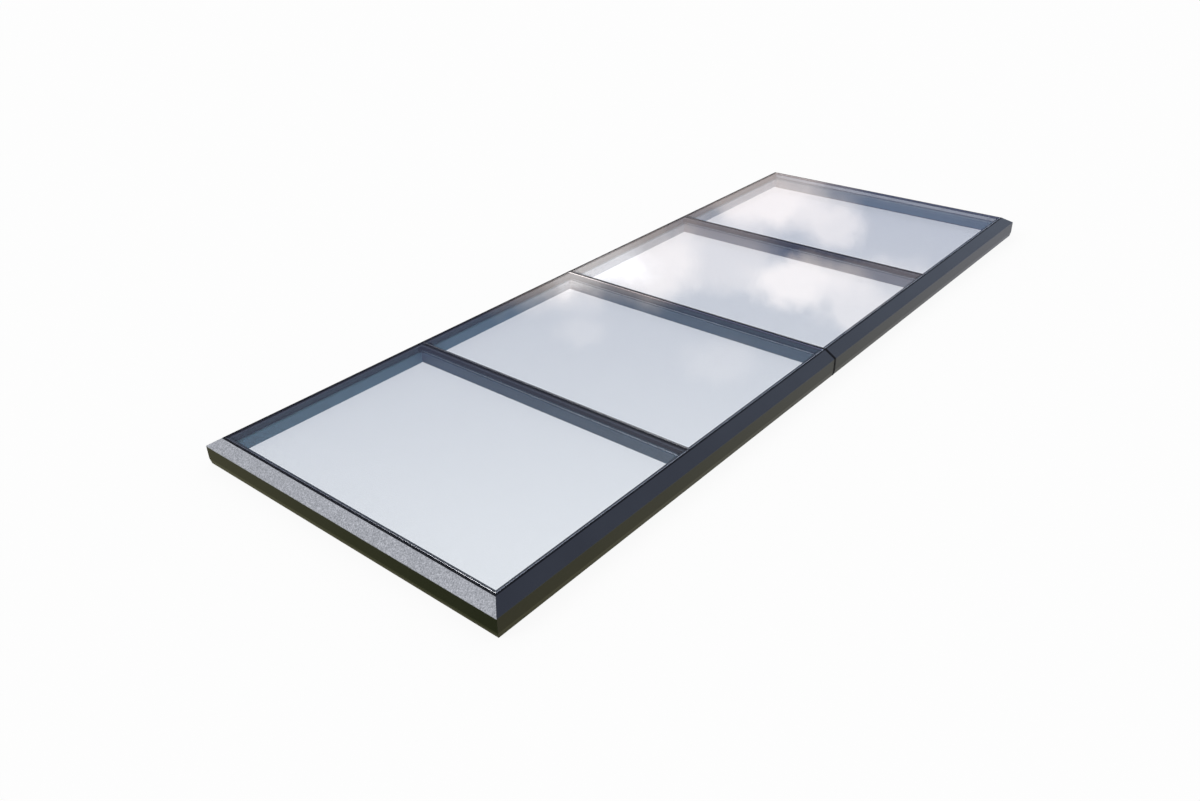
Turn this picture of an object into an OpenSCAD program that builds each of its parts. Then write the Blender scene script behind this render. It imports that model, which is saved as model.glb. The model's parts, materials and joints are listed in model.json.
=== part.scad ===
// Flat modular roof skylight: two coupled modules, each with two sealed glazing units.
// The X axis runs across the skylight and the Y axis along it. The front end is at -Y.
// The origin is the centre of the footprint, level with the foot of the drip skirt.
// Sections are drawn as [u, z], where u is the distance outwards from the edge of the
// visible glass and z is the height above the foot of the skirt.

/* [Upstand] */
// Outside width of the roof upstand that the skylight sits on
upstand_w = 1500; // [900:50:2000]
// Outside length of the roof upstand
upstand_l = 4000; // [2400:50:5000]
// Space between the upstand and the inside of the upright face
skirt_gap = 15; // [10:1:22]

/* [Outer profile] */
// Width of the sloped capping, seen from above
slope_w = 49; // [40:1:60]
// Fall of the sloped capping from the glass to the outer face
slope_drop = 31; // [22:1:36]
// Height of the upright outer face
face_h = 56.5; // [50:0.5:70]
// Height of the undercut foot of the skirt
undercut_h = 22.5; // [12:0.5:26]
// Distance by which the foot is set in under the outer face
undercut_in = 4.5; // [2:0.5:8]
// Thickness of the outer face and the skirt
face_t = 3; // [2:0.1:4]
// Depth by which the skirt laps down over the upstand
skirt_lap = 27.5; // [26.5:0.5:34]
// Wall of the other hollow profiles
wall = 2.5; // [1.8:0.1:3]
// Thickness of the capping
cap_t = 2.5; // [1.8:0.1:3]
// Width of the hollow box behind the outer face
outer_box_w = 23; // [18:0.5:28]
// Radius of the rounded edge between the slope and the upright face
arris_r = 1.5; // [0.5:0.1:2]

/* [Thermal break] */
// Width of the inner profile outside the edge of the visible glass
heel_w = 6; // [4:0.5:9]
// Thickness of the plastic strips that bridge the gap
strip_t = 2; // [1.6:0.1:2.6]
// Height of the foam seal under the gap
seat_seal_h = 8; // [6:0.5:10]

/* [Glazing] */
// Thickness of the outer pane
outer_pane_t = 6; // [4:1:8]
// Width of the sealed cavity between the panes
cavity_t = 16; // [12:1:18]
// Thickness of the inner pane
inner_pane_t = 6; // [4:1:8]
// Width of the ground edge of each pane
ground_edge = 1; // [0.5:0.1:1.5]
// Thickness of the glazing tape that beds each unit
tape_t = 4; // [3:0.5:5]
// Width of the sealant behind each spacer bar
sealant_w = 6; // [4:0.5:8]
// Width of each spacer bar
spacer_w = 8; // [6:0.5:10]
// Width of the black weather seal between the glass and the capping
edge_gap = 6; // [4:0.5:8]
// Width of the joint between two panes, and between the two modules
joint_w = 6; // [4:0.5:8]
// Depth of the weather seals
seal_d = 10; // [8:0.5:11]
// Depth by which the sides of the weather seals lie below the glass
seal_recess = 1; // [0.5:0.1:1.5]
// Depth of the hollow that is tooled along the middle of the weather seals
seal_hollow = 0.6; // [0.3:0.1:1]
// Length of each end plug at the joint between the modules
plug_l = 32; // [20:1:50]
// Width of the gasket lip that covers the joint between the modules
lip_w = 12; // [10:1:20]
// Thickness of the gasket lip
lip_t = 1; // [0.6:0.1:1.5]

/* [Bars] */
// Width of the glazing bar in the middle of each module
bar_w = 50; // [42:1:70]
// Width of the coupling beam at the end of each module
beam_w = 25; // [21:1:35]
// Radius of the rounded edges of the bars and beams
bar_r = 2; // [1:0.5:3]
// Height of the upstanding nib that centres the glass
nib_h = 18; // [12:1:20]
// Thickness of the nib
nib_t = 2.5; // [1.6:0.1:3]

/* [Joining parts] */
// Length of each leg of a corner cleat
cleat_leg = 80; // [60:5:120]
// Length of the cleats inside the ends of the bars
end_cleat_l = 30; // [20:1:50]
// Diameter of the screws that hold the end cleats
screw_d = 5; // [4:0.5:6]
// Diameter of the coupling bolts
bolt_d = 8; // [6:1:10]
// Number of coupling bolts
bolt_n = 5; // [3:1:8]
// Floor left on each side of the access holes under the coupling bolts
access_rim = 1.5; // [1:0.1:3]
// Length of each edge block
block_l = 80; // [50:5:120]

/* [Fit] */
// Clearance round pieces that slide in or are pushed in
fit = 0.3; // [0.2:0.05:0.5]
// Clearance round screws and bolts in their holes
hole_fit = 0.5; // [0.3:0.05:0.8]

/* [Hidden] */
$fn = 48;

// Overall sizes
frame_w = upstand_w + 2 * (skirt_gap + face_t);
frame_l = upstand_l + 2 * (skirt_gap + face_t);
glass_w = frame_w - 2 * slope_w;
glass_l = frame_l - 2 * slope_w;
top_z = slope_drop + face_h + undercut_h;

// Heights
cavity_top_z = top_z - outer_pane_t;
cavity_foot_z = cavity_top_z - cavity_t;
unit_foot_z = cavity_foot_z - inner_pane_t;
ledge_z = unit_foot_z - tape_t;
seat_z = skirt_lap;
floor_z = seat_z + wall;
nib_z = ledge_z + nib_h;
seal_foot_z = top_z - seal_d;
seal_top_z = top_z - seal_recess;

// Distances outwards from the edge of the visible glass
tape_w = sealant_w + spacer_w;
inside_u = -edge_gap - tape_w;
inner_box_u = heel_w;
outer_box_u = slope_w - outer_box_w;
break_w = outer_box_u - inner_box_u;

// The slope, and what a thickness square to it measures straight down
slope_rate = slope_drop / slope_w;
slope_cos = cos(atan(slope_rate));
cap_down = cap_t / slope_cos;
wall_down = wall / slope_cos;

// Dovetail feet of the thermal break strips and the jaws that hold them
foot_d = 2.5;
foot_mouth = strip_t + 1;
foot_base = strip_t + 2.8;
jaw_t = 1.5;
jaw_h = foot_base + 2 * jaw_t;
strip_drop = 8;
low_strip_z = seat_z + seat_seal_h + jaw_h / 2;
high_strip_z = ledge_z - strip_drop;

// The hooked leg that clips the capping to the outer box
hook_t = 2;
hook_l = 11;
hook_grip = 1;

// Panes, bars and bolts along the skylight
clear_half = glass_w / 2 + inside_u;
pane_pitch = glass_l / 4;
bar_y = pane_pitch;
beam_y = joint_w / 2 + beam_w / 2;
bar_mid_z = (seat_z + ledge_z) / 2;
bolt_pitch = 2 * clear_half / bolt_n;
screw_pitch = 22;
screw_head_d = 2 * screw_d - 1;
screw_head_t = screw_d * 0.6;
bolt_head_af = bolt_d * 1.6;
bolt_head_t = bolt_d * 0.66;
nut_t = bolt_d * 0.8;
bolt_end = 3;
end_plate_t = 2.5;
access_d = beam_w - 2 * (wall + access_rim);
block_h = nib_h - 1;
plug_bead = 1.2;
plug_bead_t = 1.5;

// Room beyond a piece for the cuts that shape it
over = 5;
mitre_d = slope_w - inside_u + over;

// Height of the underside of the capping at a distance u
function under_cap(u) = top_z - cap_down - slope_rate * u;

// Height of the ceiling inside the outer box at a distance u
function box_ceiling(u) = under_cap(u) - wall_down;

// A section run along the right side, from y0 to y1
module run_along_y(y0, y1) {
    translate([glass_w / 2, y1, 0]) rotate([90, 0, 0]) linear_extrude(y1 - y0) children();
}

// A section run along the rear end, across the whole width
module run_along_x() {
    translate([-frame_w / 2 - over, glass_l / 2, 0])
        rotate([90, 0, 90])
            linear_extrude(frame_w + 2 * over) children();
}

// The part of the plan that a mitred rear end profile may take
module end_plan() {
    polygon([
        [-frame_w / 2 - over, frame_l / 2 + over],
        [frame_w / 2 + over, frame_l / 2 + over],
        [frame_w / 2 - mitre_d, frame_l / 2 - mitre_d],
        [-frame_w / 2 + mitre_d, frame_l / 2 - mitre_d]
    ]);
}

// The part of the plan that a mitred right rear profile may take
module side_plan() {
    polygon([
        [frame_w / 2 + over, 0],
        [frame_w / 2 + over, frame_l / 2 + over],
        [frame_w / 2 - mitre_d, frame_l / 2 - mitre_d],
        [frame_w / 2 - mitre_d, 0]
    ]);
}

// A rear end piece of the frame, mitred at both corners
module rear_piece() {
    intersection() {
        run_along_x() children();
        translate([0, 0, -over]) linear_extrude(top_z + 2 * over) end_plan();
    }
}

// A right rear piece of the frame, square at the joint and mitred at the corner
module right_rear_piece() {
    intersection() {
        run_along_y(joint_w / 2, frame_l / 2 + over) children();
        translate([0, 0, -over]) linear_extrude(top_z + 2 * over) side_plan();
    }
}

module front_piece() { mirror([0, 1, 0]) rear_piece() children(); }
module left_rear_piece() { mirror([1, 0, 0]) right_rear_piece() children(); }
module right_front_piece() { mirror([0, 1, 0]) right_rear_piece() children(); }
module left_front_piece() { mirror([1, 0, 0]) right_front_piece() children(); }

// Dovetail foot of a thermal break strip, from the wall at u. Its way is 1 outwards, -1 inwards.
module dovetail(u, z, way) {
    polygon([
        [u, z - foot_base / 2],
        [u + way * foot_d, z - foot_mouth / 2],
        [u + way * foot_d, z + foot_mouth / 2],
        [u, z + foot_base / 2]
    ]);
}

// Outline of the pair of jaws that hold a dovetail foot, going up the wall at u
function jaws(u, z, way) = [
    [u, z - jaw_h / 2],
    [u + way * foot_d, z - jaw_h / 2],
    [u + way * foot_d, z - foot_mouth / 2],
    [u, z - foot_base / 2],
    [u, z + foot_base / 2],
    [u + way * foot_d, z + foot_mouth / 2],
    [u + way * foot_d, z + jaw_h / 2],
    [u, z + jaw_h / 2]
];

// Outer profile: box behind the upright face, sloped shoulder and drip skirt
module outer_section() {
    difference() {
        polygon(concat(
            [
                [slope_w, under_cap(slope_w)],
                [slope_w, undercut_h],
                [slope_w - undercut_in, 0],
                [slope_w - undercut_in - face_t, 0],
                [slope_w - face_t, undercut_h],
                [slope_w - face_t, seat_z],
                [outer_box_u, seat_z]
            ],
            jaws(outer_box_u, low_strip_z, -1),
            jaws(outer_box_u, high_strip_z, -1),
            [[outer_box_u, under_cap(outer_box_u)]]
        ));
        polygon([
            [outer_box_u + wall, floor_z],
            [slope_w - face_t, floor_z],
            [slope_w - face_t, box_ceiling(slope_w - face_t)],
            [outer_box_u + wall, box_ceiling(outer_box_u + wall)]
        ]);
        hook_groove();
    }
}

// Groove in the outer box that the barb of the capping clips into
module hook_groove() {
    hook_z = under_cap(outer_box_u) - hook_l;
    polygon([
        [outer_box_u - 1, hook_z - fit],
        [outer_box_u + hook_grip + fit, hook_z + hook_grip],
        [outer_box_u + hook_grip + fit, hook_z + 3 * hook_grip + fit],
        [outer_box_u - 1, hook_z + 3 * hook_grip + fit]
    ]);
}

// Inner profile: box that carries the glass, with the nib that centres it
module inner_section() {
    difference() {
        polygon(concat(
            [[inside_u, seat_z], [inner_box_u, seat_z]],
            jaws(inner_box_u, low_strip_z, 1),
            jaws(inner_box_u, high_strip_z, 1),
            [
                [inner_box_u, ledge_z],
                [nib_t, ledge_z],
                [nib_t, nib_z],
                [0, nib_z],
                [0, ledge_z],
                [inside_u, ledge_z]
            ]
        ));
        translate([inside_u + wall, floor_z])
            square([inner_box_u - inside_u - 2 * wall, ledge_z - floor_z - wall]);
    }
}

// Capping: slope, leg that stands on the nib and hooked leg that clips to the outer box
module cap_section() {
    hook_u = outer_box_u - fit;
    hook_z = under_cap(outer_box_u) - hook_l;
    difference() {
        cap_outline(hook_u, hook_z);
        arris_cut();
    }
}

// Outline of the capping before its outer edge is rounded
module cap_outline(hook_u, hook_z) {
    polygon([
        [0, top_z],
        [slope_w, top_z - slope_drop],
        [slope_w, under_cap(slope_w)],
        [hook_u, under_cap(hook_u)],
        [hook_u, hook_z + 3 * hook_grip],
        [outer_box_u + hook_grip, hook_z + 3 * hook_grip],
        [outer_box_u + hook_grip, hook_z + 2 * hook_grip],
        [hook_u, hook_z],
        [hook_u - hook_t, hook_z],
        [hook_u - hook_t, under_cap(hook_u - hook_t)],
        [nib_t, under_cap(nib_t)],
        [nib_t, nib_z],
        [0, nib_z]
    ]);
}

// What the rounded edge of the capping leaves away from its sharp corner
module arris_cut() {
    centre = [slope_w - arris_r, top_z - slope_rate * (slope_w - arris_r) - arris_r / slope_cos];
    difference() {
        polygon([
            [slope_w, top_z - slope_drop],
            centre + arris_r * [slope_rate * slope_cos, slope_cos],
            centre,
            [slope_w, centre[1]]
        ]);
        translate(centre) circle(r = arris_r);
    }
}

// Plastic strip with a dovetail foot in each profile
module strip_section(z) {
    dovetail(inner_box_u, z, 1);
    dovetail(outer_box_u, z, -1);
    translate([inner_box_u + foot_d / 2, z - strip_t / 2])
        square([outer_box_u - inner_box_u - foot_d, strip_t]);
}

// Foam that fills the underside of the thermal break and seals to the upstand
module seat_seal_section() {
    translate([inner_box_u + fit, seat_z])
        square([break_w - 2 * fit, seat_seal_h - fit]);
}

// A section run along the three outer sides of the rear module
module rear_module_run() {
    rear_piece() children();
    right_rear_piece() children();
    left_rear_piece() children();
}

// Screw holes for the two screws at each bar end, at y, on the right side
module screw_holes(y) {
    for (dz = [-1, 1])
        translate([clear_half - over, y, bar_mid_z + dz * screw_pitch / 2])
            rotate([0, 90, 0]) cylinder(d = screw_d + hole_fit, h = wall + 2 * over);
}

// Outer profiles
module rear_end_outer() { color("#3b4233") rear_piece() outer_section(); }
module front_end_outer() { color("#3b4233") front_piece() outer_section(); }
module right_rear_outer() { color("#4a4d48") right_rear_piece() outer_section(); }
module right_front_outer() { color("#4a4d48") right_front_piece() outer_section(); }
module left_rear_outer() { color("#4a4d48") left_rear_piece() outer_section(); }
module left_front_outer() { color("#4a4d48") left_front_piece() outer_section(); }

// Inner profiles
module rear_end_inner() { color("#5b6a7a") rear_piece() inner_section(); }
module front_end_inner() { color("#5b6a7a") front_piece() inner_section(); }
module right_rear_inner() {
    color("#5b6a7a") difference() {
        right_rear_piece() inner_section();
        screw_holes(bar_y);
        screw_holes(beam_y);
    }
}
module right_front_inner() { mirror([0, 1, 0]) right_rear_inner(); }
module left_rear_inner() { mirror([1, 0, 0]) right_rear_inner(); }
module left_front_inner() { mirror([1, 0, 0]) right_front_inner(); }

// Cappings. The front one has the pale finish.
module rear_end_cap() { color("#3c4552") rear_piece() cap_section(); }
module front_end_cap() { color("#a6abb1") front_piece() cap_section(); }
module right_rear_cap() { color("#3c4552") right_rear_piece() cap_section(); }
module right_front_cap() { color("#3c4552") right_front_piece() cap_section(); }
module left_rear_cap() { color("#3c4552") left_rear_piece() cap_section(); }
module left_front_cap() { color("#3c4552") left_front_piece() cap_section(); }

// Thermal breaks and the foam seal under them, one set to a module
module rear_thermal_breaks() {
    color("#1d1d1f") {
        rear_module_run() strip_section(low_strip_z);
        rear_module_run() strip_section(high_strip_z);
    }
}
module front_thermal_breaks() { mirror([0, 1, 0]) rear_thermal_breaks(); }
module rear_seat_seal() { color("#2b2b2d") rear_module_run() seat_seal_section(); }
module front_seat_seal() { mirror([0, 1, 0]) rear_seat_seal(); }

// A section run across the skylight, half_x each way, with its centre at y
module run_across(half_x, y) {
    translate([-half_x, y, 0]) rotate([90, 0, 90]) linear_extrude(2 * half_x) children();
}

// What a rounded edge leaves away from the sharp corner at the origin
module edge_cut(r) {
    difference() {
        square([r, r]);
        translate([r, r]) circle(r = r);
    }
}

// Section of a hollow bar, w wide, with rounded edges
module bar_section(w) {
    difference() {
        translate([-w / 2, seat_z]) square([w, ledge_z - seat_z]);
        translate([wall - w / 2, floor_z]) square([w - 2 * wall, ledge_z - floor_z - wall]);
        for (mx = [0, 1])
            mirror([mx, 0]) {
                translate([-w / 2, seat_z]) edge_cut(bar_r);
                translate([-w / 2, ledge_z]) mirror([0, 1]) edge_cut(bar_r);
            }
    }
}

module rear_glazing_bar() {
    color("#55606c") {
        run_across(clear_half, bar_y) bar_section(bar_w);
        translate([-clear_half, bar_y - nib_t / 2, ledge_z - wall / 2])
            cube([2 * clear_half, nib_t, nib_h + wall / 2]);
    }
}
module front_glazing_bar() { mirror([0, 1, 0]) rear_glazing_bar(); }

// Where the coupling bolts lie across the skylight
bolt_xs = [for (i = [0 : bolt_n - 1]) (i + 0.5 - bolt_n / 2) * bolt_pitch];

// Holes for the coupling bolts through both beams and the gasket
module bolt_holes() {
    reach = joint_w / 2 + wall + 1;
    for (x = bolt_xs)
        translate([x, reach, bar_mid_z])
            rotate([90, 0, 0]) cylinder(d = bolt_d + hole_fit, h = 2 * reach);
}

module rear_coupling_beam() {
    color("#55606c") difference() {
        run_across(clear_half, beam_y) bar_section(beam_w);
        bolt_holes();
        for (x = bolt_xs)
            translate([x, beam_y, seat_z - 1]) cylinder(d = access_d, h = wall + 2);
    }
}
module front_coupling_beam() { mirror([0, 1, 0]) rear_coupling_beam(); }

// Plan limits of a glazing unit: joints inside the glass, weather seal at its ends
function pane_y0(i) = -glass_l / 2 + i * pane_pitch + (i == 0 ? edge_gap : joint_w / 2);
function pane_y1(i) = -glass_l / 2 + (i + 1) * pane_pitch - (i == 3 ? edge_gap : joint_w / 2);

// A pane of unit i between heights z and z + t, with its edges ground to a small slope
module pane(i, z, t) {
    x = glass_w / 2 - edge_gap;
    y0 = pane_y0(i);
    y1 = pane_y1(i);
    intersection() {
        translate([0, y1, 0]) rotate([90, 0, 0]) linear_extrude(y1 - y0) ground_section(-x, x, z, t);
        run_across(x, 0) ground_section(y0, y1, z, t);
    }
}

// Section of a pane from a to b, with its corners cut off
module ground_section(a, b, z, t) {
    polygon([
        [a + ground_edge, z],
        [b - ground_edge, z],
        [b, z + ground_edge],
        [b, z + t - ground_edge],
        [b - ground_edge, z + t],
        [a + ground_edge, z + t],
        [a, z + t - ground_edge],
        [a, z + ground_edge]
    ]);
}

// A plate to the outline of unit i, held back from its edge by inset
module pane_plate(i, inset, z, t) {
    x = glass_w / 2 - edge_gap - inset;
    y0 = pane_y0(i) + inset;
    translate([-x, y0, z]) cube([2 * x, pane_y1(i) - inset - y0, t]);
}

// A ring inside the outline of unit i, from inset to inset + band
module pane_ring(i, inset, band, z, t) {
    difference() {
        pane_plate(i, inset, z, t);
        pane_plate(i, inset + band, z - 1, t + 2);
    }
}

module outer_pane(i) { color("#c9d3da", 0.35) pane(i, cavity_top_z, outer_pane_t); }
module inner_pane(i) { color("#c9d3da", 0.35) pane(i, unit_foot_z, inner_pane_t); }
module edge_sealant(i) { color("#26282b") pane_ring(i, 0, sealant_w, cavity_foot_z, cavity_t); }
module spacer(i) { color("#3a4048") pane_ring(i, sealant_w, spacer_w, cavity_foot_z, cavity_t); }
module bed_tape(i) { color("#1b1b1c") pane_ring(i, 0, tape_w, ledge_z, tape_t); }

// Section of a weather seal, w wide, with a hollow tooled along its top
module seal_section(w) {
    hollow_r = (w * w / 4 + seal_hollow * seal_hollow) / (2 * seal_hollow);
    difference() {
        translate([-w / 2, seal_foot_z]) square([w, seal_top_z - seal_foot_z]);
        translate([0, seal_top_z + hollow_r - seal_hollow]) circle(r = hollow_r);
    }
}

// Weather seal round the three outer sides of each module
module rear_edge_seal() {
    color("#14181e") rear_module_run() translate([-edge_gap / 2, 0]) seal_section(edge_gap);
}
module front_edge_seal() { mirror([0, 1, 0]) rear_edge_seal(); }

// Weather seal in the joint between two panes, at y, reaching half_x each way
module joint_seal(y, half_x) {
    color("#1a1e25") run_across(half_x, y) seal_section(joint_w);
}
module front_joint_seal() { joint_seal(-bar_y, glass_w / 2 - edge_gap); }
module rear_joint_seal() { joint_seal(bar_y, glass_w / 2 - edge_gap); }
module middle_joint_seal() { joint_seal(0, glass_w / 2 - plug_l); }

// A section w wide over the joint between the modules, on the right and mirrored on the left
module in_joint(w) {
    for (side = [0, 1])
        mirror([side, 0, 0])
            translate([glass_w / 2, w / 2, 0])
                rotate([90, 0, 0]) linear_extrude(w) children();
}

// Rubber plugs that close the ends of the joint, flush with the glass
module joint_end_plugs() {
    color("#08080a") in_joint(joint_w) polygon([
        [-plug_l, seal_foot_z],
        [-plug_l, top_z],
        [0, top_z],
        [0, ledge_z],
        [inside_u, ledge_z],
        [inside_u, seal_foot_z]
    ]);
}

// Section of the lip of the gasket, from level with the glass down to the foot of the skirt
module gasket_lip() {
    lip_u = lip_t * slope_cos / slope_rate;
    lip_up = lip_t / slope_cos;
    foot_out = lip_t / cos(atan(undercut_in / undercut_h));
    polygon([
        [lip_u, top_z - slope_rate * lip_u],
        [lip_u + lip_t * slope_rate * slope_cos, top_z],
        [slope_w + lip_t, top_z - slope_rate * (slope_w + lip_t) + lip_up],
        [slope_w + lip_t, undercut_h * (1 + (lip_t - foot_out) / undercut_in)],
        [slope_w - undercut_in + foot_out, 0],
        [slope_w - undercut_in, 0],
        [slope_w, undercut_h],
        [slope_w, top_z - slope_drop]
    ]);
}

// One-piece gasket between the modules, with a lip that follows the outline of the frame
module joint_gasket() {
    color("#101114") difference() {
        union() {
            in_joint(lip_w) gasket_lip();
            in_joint(joint_w) polygon([
                [0, top_z],
                [slope_w, top_z - slope_drop],
                [slope_w, undercut_h],
                [slope_w - undercut_in, 0],
                [slope_w - undercut_in - face_t, 0],
                [slope_w - face_t, undercut_h],
                [slope_w - face_t, seat_z],
                [inside_u, seat_z],
                [inside_u, ledge_z],
                [0, ledge_z]
            ]);
            translate([-clear_half - over, -joint_w / 2, seat_z])
                cube([2 * (clear_half + over), joint_w, ledge_z - seat_z]);
        }
        bolt_holes();
    }
}

// Plastic blocks that hold the glass away from the nib
module edge_blocks() {
    color("#2f6f4f") {
        for (i = [0 : 3])
            for (share = [0.25, 0.75])
                for (side = [0, 1])
                    mirror([side, 0, 0]) translate([
                        glass_w / 2 - edge_gap,
                        pane_y0(i) + share * (pane_y1(i) - pane_y0(i)) - block_l / 2,
                        ledge_z
                    ]) cube([edge_gap, block_l, block_h]);
        for (end = [0, 1])
            for (share = [-0.25, 0.25])
                mirror([0, end, 0])
                    translate([share * glass_w - block_l / 2, glass_l / 2 - edge_gap, ledge_z])
                        cube([block_l, edge_gap, block_h]);
    }
}

// L-shaped cleat in the rear right corner, between distances u0 and u1 and heights z0 and z1
module corner_cleat(u0, u1, z0, z1) {
    far_x = glass_w / 2 + u1;
    far_y = glass_l / 2 + u1;
    arm = u1 - u0;
    translate([0, 0, z0]) linear_extrude(z1 - z0) polygon([
        [far_x, far_y],
        [far_x - cleat_leg, far_y],
        [far_x - cleat_leg, far_y - arm],
        [far_x - arm, far_y - arm],
        [far_x - arm, far_y - cleat_leg],
        [far_x, far_y - cleat_leg]
    ]);
}

// Cleats inside both boxes at all four corners
module corner_cleats() {
    outer_u1 = slope_w - face_t - fit;
    color("#9a9da1")
        for (mx = [0, 1])
            for (my = [0, 1])
                mirror([mx, 0, 0]) mirror([0, my, 0]) {
                    corner_cleat(outer_box_u + wall + fit, outer_u1,
                        floor_z + fit, box_ceiling(slope_w - face_t) - fit);
                    corner_cleat(inside_u + wall + fit, inner_box_u - wall - fit,
                        floor_z + fit, ledge_z - wall - fit);
                }
}

// Places a child at both ends of each bar and beam: $bar_width is the width of that bar
module at_bar_ends() {
    for (place = [[bar_y, bar_w], [beam_y, beam_w]])
        for (mx = [0, 1])
            for (my = [0, 1]) {
                $bar_width = place[1];
                mirror([mx, 0, 0]) mirror([0, my, 0])
                    translate([clear_half, place[0], 0]) children();
            }
}

// U-shaped cleat inside the end of a bar, with its plate against the inner profile
module bar_end_cleats() {
    color("#8f9296") at_bar_ends() {
        half = $bar_width / 2 - wall - fit;
        z0 = floor_z + fit;
        difference() {
            translate([-end_cleat_l, -half, z0])
                cube([end_cleat_l, 2 * half, ledge_z - wall - fit - z0]);
            translate([-end_cleat_l - 1, -half + end_plate_t, z0 - 1])
                cube([end_cleat_l + 1 - end_plate_t, 2 * (half - end_plate_t), ledge_z - z0]);
            for (dz = [-1, 1])
                translate([-end_plate_t - 1, 0, bar_mid_z + dz * screw_pitch / 2])
                    rotate([0, 90, 0]) cylinder(d = screw_d + hole_fit, h = end_plate_t + 2);
        }
    }
}

// Screws through the end cleats into the inner profiles
module cleat_screws() {
    color("#b9bcc0") at_bar_ends()
        for (dz = [-1, 1])
            translate([-end_plate_t, 0, bar_mid_z + dz * screw_pitch / 2]) {
                rotate([0, -90, 0]) cylinder(d = screw_head_d, h = screw_head_t);
                rotate([0, 90, 0]) cylinder(d = screw_d, h = end_plate_t + wall + bolt_end);
            }
}

// Bolts, with nuts, that pull the two coupling beams together
module coupling_bolts() {
    grip = joint_w / 2 + wall;
    color("#b4b7bb") for (x = bolt_xs) translate([x, 0, bar_mid_z]) {
        translate([0, -grip, 0]) rotate([90, 0, 0])
            cylinder(d = bolt_head_af / cos(30), h = bolt_head_t, $fn = 6);
        translate([0, grip + nut_t + bolt_end, 0]) rotate([90, 0, 0])
            cylinder(d = bolt_d, h = 2 * grip + nut_t + bolt_end + bolt_head_t / 2);
        translate([0, grip + nut_t, 0]) rotate([90, 0, 0])
            cylinder(d = bolt_head_af / cos(30), h = nut_t, $fn = 6);
    }
}

// Plugs, with a snap bead above the wall, that close the access holes flush
module access_plugs() {
    color("#2a2d31") for (x = bolt_xs) for (my = [0, 1]) mirror([0, my, 0])
        translate([x, beam_y, seat_z]) {
            cylinder(d = access_d - fit, h = wall + plug_bead_t);
            translate([0, 0, wall]) cylinder(d = access_d + plug_bead, h = plug_bead_t);
        }
}

front_end_outer();
rear_end_outer();
left_front_outer();
left_rear_outer();
right_front_outer();
right_rear_outer();
front_end_inner();
rear_end_inner();
left_front_inner();
left_rear_inner();
right_front_inner();
right_rear_inner();
front_end_cap();
rear_end_cap();
left_front_cap();
left_rear_cap();
right_front_cap();
right_rear_cap();
front_thermal_breaks();
rear_thermal_breaks();
front_seat_seal();
rear_seat_seal();
front_glazing_bar();
rear_glazing_bar();
front_coupling_beam();
rear_coupling_beam();
outer_pane(0);  // outer_pane_1
outer_pane(1);  // outer_pane_2
outer_pane(2);  // outer_pane_3
outer_pane(3);  // outer_pane_4
inner_pane(0);  // inner_pane_1
inner_pane(1);  // inner_pane_2
inner_pane(2);  // inner_pane_3
inner_pane(3);  // inner_pane_4
spacer(0);  // spacer_1
spacer(1);  // spacer_2
spacer(2);  // spacer_3
spacer(3);  // spacer_4
edge_sealant(0);  // edge_sealant_1
edge_sealant(1);  // edge_sealant_2
edge_sealant(2);  // edge_sealant_3
edge_sealant(3);  // edge_sealant_4
bed_tape(0);  // bed_tape_1
bed_tape(1);  // bed_tape_2
bed_tape(2);  // bed_tape_3
bed_tape(3);  // bed_tape_4
front_edge_seal();
rear_edge_seal();
front_joint_seal();
middle_joint_seal();
rear_joint_seal();
joint_end_plugs();
joint_gasket();
edge_blocks();
corner_cleats();
bar_end_cleats();
cleat_screws();
coupling_bolts();
access_plugs();
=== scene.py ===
# %% [markdown]
# # A flat roof skylight, dressed in Blender
#
# The object is a long flat skylight: two coupled metal modules, each with two sealed glazing
# units side by side, and sloped cappings that run from the glass down to an upright face. The
# solids come from the CAD model and stay as they are. This script gives them their finishes, adds
# the fine pieces that only show close up, and sets a plain studio round them.
#
# All lengths are in metres. X runs across the skylight, Y along it, and the front end is at -Y.

# %% Load the frame
import json
import math

import bmesh
import bpy
import numpy as np
from mathutils import Matrix, Vector


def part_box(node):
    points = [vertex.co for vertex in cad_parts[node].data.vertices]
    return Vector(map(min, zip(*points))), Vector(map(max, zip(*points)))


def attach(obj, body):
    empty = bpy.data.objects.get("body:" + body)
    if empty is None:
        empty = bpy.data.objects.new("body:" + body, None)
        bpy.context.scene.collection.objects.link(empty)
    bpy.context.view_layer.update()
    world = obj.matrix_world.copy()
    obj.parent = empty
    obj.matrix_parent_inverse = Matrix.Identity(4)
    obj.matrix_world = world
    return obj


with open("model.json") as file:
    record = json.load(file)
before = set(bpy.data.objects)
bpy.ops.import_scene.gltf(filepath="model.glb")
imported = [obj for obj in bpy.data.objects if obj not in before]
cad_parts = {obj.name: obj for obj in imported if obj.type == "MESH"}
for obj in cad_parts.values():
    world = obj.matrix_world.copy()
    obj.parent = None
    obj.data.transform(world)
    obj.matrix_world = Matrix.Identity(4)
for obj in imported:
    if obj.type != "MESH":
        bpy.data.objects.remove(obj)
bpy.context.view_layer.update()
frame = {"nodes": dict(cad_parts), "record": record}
nodes = frame["nodes"]

MM = 0.001
WHITE = (1.0, 1.0, 1.0, 1.0)
_, cap_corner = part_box("right_rear_cap")
_, end_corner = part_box("rear_end_cap")
FRAME_X, FRAME_Y = cap_corner.x, end_corner.y
pane_start, pane_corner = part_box("outer_pane_4")
_, pane_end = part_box("outer_pane_3")
BAR_Y = (pane_start.y + pane_end.y) / 2
JOINT_HALF = (pane_start.y - pane_end.y) / 2
TOP_Z = pane_corner.z
print("cappings reach", round(FRAME_X, 4), "and", round(FRAME_Y, 4), "bars lie at", round(BAR_Y, 4))

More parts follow.
